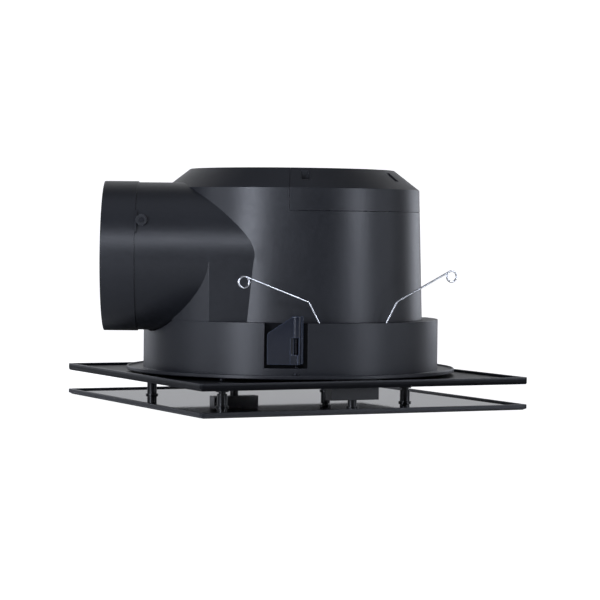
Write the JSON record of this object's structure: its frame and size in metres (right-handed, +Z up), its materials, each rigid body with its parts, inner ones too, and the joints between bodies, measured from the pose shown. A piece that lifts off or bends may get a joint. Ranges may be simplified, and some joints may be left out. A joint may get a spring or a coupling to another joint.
{
  "type": "ceiling extractor fan",
  "caption": "Side-ducted ceiling extractor fan: round body on a collar with swing-out clamps, a side duct spigot with flap, and a square spring-held fascia.",
  "frame": {"origin": "on the fan axis, at the underside of the lower fascia panel", "axes": "+Z up along the fan axis, the duct spigot points along -X, its axis is offset to -Y"},
  "size_m": [0.47, 0.47, 0.238],
  "materials": {
    "housing": "fine satin texture",
    "scroll": "satin",
    "collar": "fine satin texture",
    "collar_screws": "zinc plated",
    "inlet_ring": "satin",
    "inlet_ring_screws": "zinc plated",
    "terminal_cover": "fine satin texture",
    "terminal_cover_screws": "blackened",
    "terminal_block": "satin",
    "terminal_screws": "bright",
    "cable_gland": "satin",
    "capacitor": "satin",
    "capacitor_clip": "zinc plated",
    "motor_plate": "zinc plated sheet",
    "motor_plate_screws": "zinc plated",
    "motor_can": "zinc plated",
    "motor_screws": "zinc plated",
    "motor_stator": "laminated steel",
    "motor_windings": "varnished copper wire",
    "motor_rotor": "cast and turned",
    "motor_shaft": "ground",
    "upper_bearing": "ground",
    "lower_bearing": "ground",
    "impeller": "satin",
    "impeller_nut": "bright",
    "damper_flap": "satin",
    "damper_axle": "blackened",
    "clamp_screw_a": "blackened",
    "clamp_screw_b": "blackened",
    "clamp_screw_c": "blackened",
    "clamp_nut_a": "bright",
    "clamp_nut_b": "bright",
    "clamp_nut_c": "bright",
    "clamp_wing_a": "gloss, blue-black",
    "clamp_wing_b": "gloss, blue-black",
    "clamp_wing_c": "gloss, blue-black",
    "fascia_frame": "fine satin texture",
    "panel_tray": "fine satin texture",
    "panel_glass": "gloss black, opaque",
    "standoffs": "semi-gloss",
    "standoff_screws": "blackened",
    "spring_holders": "semi-gloss",
    "spring_a_left": "bright drawn wire",
    "spring_a_right": "bright drawn wire",
    "spring_b_left": "bright drawn wire",
    "spring_b_right": "bright drawn wire"
  },
  "bodies": {
    "fan_body": {"housing": "housing", "scroll": "scroll", "collar": "collar", "collar_screws": "collar_screws", "inlet_ring": "inlet_ring", "inlet_ring_screws": "inlet_ring_screws", "terminal_cover": "terminal_cover", "terminal_cover_screws": "terminal_cover_screws", "terminal_block": "terminal_block", "terminal_screws": "terminal_screws", "cable_gland": "cable_gland", "capacitor": "capacitor", "capacitor_clip": "capacitor_clip", "motor_plate": "motor_plate", "motor_plate_screws": "motor_plate_screws", "motor_can": "motor_can", "motor_screws": "motor_screws", "motor_stator": "motor_stator", "motor_windings": "motor_windings", "upper_bearing": "upper_bearing", "lower_bearing": "lower_bearing", "damper_axle": "damper_axle"},
    "rotor": {"motor_rotor": "motor_rotor", "motor_shaft": "motor_shaft", "impeller": "impeller", "impeller_nut": "impeller_nut"},
    "flap": {"damper_flap": "damper_flap"},
    "fascia": {"fascia_frame": "fascia_frame", "panel_tray": "panel_tray", "panel_glass": "panel_glass", "standoffs": "standoffs", "standoff_screws": "standoff_screws", "spring_holders": "spring_holders"},
    "clamp_screw_a": {"clamp_screw_a": "clamp_screw_a"},
    "clamp_nut_a": {"clamp_nut_a": "clamp_nut_a"},
    "clamp_wing_a": {"clamp_wing_a": "clamp_wing_a"},
    "clamp_screw_b": {"clamp_screw_b": "clamp_screw_b"},
    "clamp_nut_b": {"clamp_nut_b": "clamp_nut_b"},
    "clamp_wing_b": {"clamp_wing_b": "clamp_wing_b"},
    "clamp_screw_c": {"clamp_screw_c": "clamp_screw_c"},
    "clamp_nut_c": {"clamp_nut_c": "clamp_nut_c"},
    "clamp_wing_c": {"clamp_wing_c": "clamp_wing_c"},
    "spring_a_left": {"spring_a_left": "spring_a_left"},
    "spring_a_right": {"spring_a_right": "spring_a_right"},
    "spring_b_left": {"spring_b_left": "spring_b_left"},
    "spring_b_right": {"spring_b_right": "spring_b_right"}
  },
  "joints": [
    {"name": "impeller_spin", "type": "hinge", "parent": "fan_body", "child": "rotor", "pos_m": [0, 0, 0.125], "axis": [0, 0, 1], "continuous": true},
    {"name": "flap_swing", "type": "hinge", "parent": "fan_body", "child": "flap", "pos_m": [-0.1475, -0.0535, 0.185], "axis": [0, 1, 0], "range_deg": [0, 55]},
    {"name": "fascia_drop", "type": "slide", "parent": "fascia", "child": "fan_body", "axis": [0, 0, 1], "range_m": [0, 0.06], "stiffness_N_per_m": 150, "springref_m": -0.15},
    {"name": "clamp_a_screw_turn", "type": "hinge", "parent": "fan_body", "child": "clamp_screw_a", "pos_m": [0.00485, -0.14776, 0.04], "axis": [0, 0, 1], "range_deg": [-2160, 0]},
    {"name": "clamp_a_rise", "type": "slide", "parent": "fan_body", "child": "clamp_nut_a", "axis": [0, 0, 1], "range_m": [0, 0.012]},
    {"name": "clamp_a_swing", "type": "hinge", "parent": "clamp_nut_a", "child": "clamp_wing_a", "pos_m": [0.00485, -0.14776, 0.06], "axis": [0, 0, 1], "range_deg": [0, 90]},
    {"name": "clamp_b_screw_turn", "type": "hinge", "parent": "fan_body", "child": "clamp_screw_b", "pos_m": [0.12554, 0.07808, 0.04], "axis": [0, 0, 1], "range_deg": [-2160, 0]},
    {"name": "clamp_b_rise", "type": "slide", "parent": "fan_body", "child": "clamp_nut_b", "axis": [0, 0, 1], "range_m": [0, 0.012]},
    {"name": "clamp_b_swing", "type": "hinge", "parent": "clamp_nut_b", "child": "clamp_wing_b", "pos_m": [0.12554, 0.07808, 0.06], "axis": [0, 0, 1], "range_deg": [0, 90]},
    {"name": "clamp_c_screw_turn", "type": "hinge", "parent": "fan_body", "child": "clamp_screw_c", "pos_m": [-0.13039, 0.06968, 0.04], "axis": [0, 0, 1], "range_deg": [-2160, 0]},
    {"name": "clamp_c_rise", "type": "slide", "parent": "fan_body", "child": "clamp_nut_c", "axis": [0, 0, 1], "range_m": [0, 0.012]},
    {"name": "clamp_c_swing", "type": "hinge", "parent": "clamp_nut_c", "child": "clamp_wing_c", "pos_m": [-0.13039, 0.06968, 0.06], "axis": [0, 0, 1], "range_deg": [0, 90]},
    {"name": "spring_a_left_close", "type": "hinge", "parent": "fascia", "child": "spring_a_left", "pos_m": [0.05997, -0.12573, 0.033], "axis": [-0.4305, 0.9026, 0], "range_deg": [0, 33.2]},
    {"name": "spring_a_right_close", "type": "hinge", "parent": "fascia", "child": "spring_a_right", "pos_m": [0.05997, -0.12573, 0.033], "axis": [-0.4305, 0.9026, 0], "range_deg": [-33.2, 0]},
    {"name": "spring_b_left_close", "type": "hinge", "parent": "fascia", "child": "spring_b_left", "pos_m": [-0.05997, 0.12573, 0.033], "axis": [0.4305, -0.9026, 0], "range_deg": [0, 33.2]},
    {"name": "spring_b_right_close", "type": "hinge", "parent": "fascia", "child": "spring_b_right", "pos_m": [-0.05997, 0.12573, 0.033], "axis": [0.4305, -0.9026, 0], "range_deg": [-33.2, 0]}
  ],
  "couplings": [
    {"joint": "clamp_a_screw_turn", "follows": "clamp_a_rise", "rad_per_m": -3141.6},
    {"joint": "clamp_b_screw_turn", "follows": "clamp_b_rise", "rad_per_m": -3141.6},
    {"joint": "clamp_c_screw_turn", "follows": "clamp_c_rise", "rad_per_m": -3141.6},
    {"joint": "spring_a_left_close", "follows": "fascia_drop", "rad_per_m": 9.5993},
    {"joint": "spring_a_right_close", "follows": "fascia_drop", "rad_per_m": -9.5993},
    {"joint": "spring_b_left_close", "follows": "fascia_drop", "rad_per_m": 9.5993},
    {"joint": "spring_b_right_close", "follows": "fascia_drop", "rad_per_m": -9.5993}
  ]
}
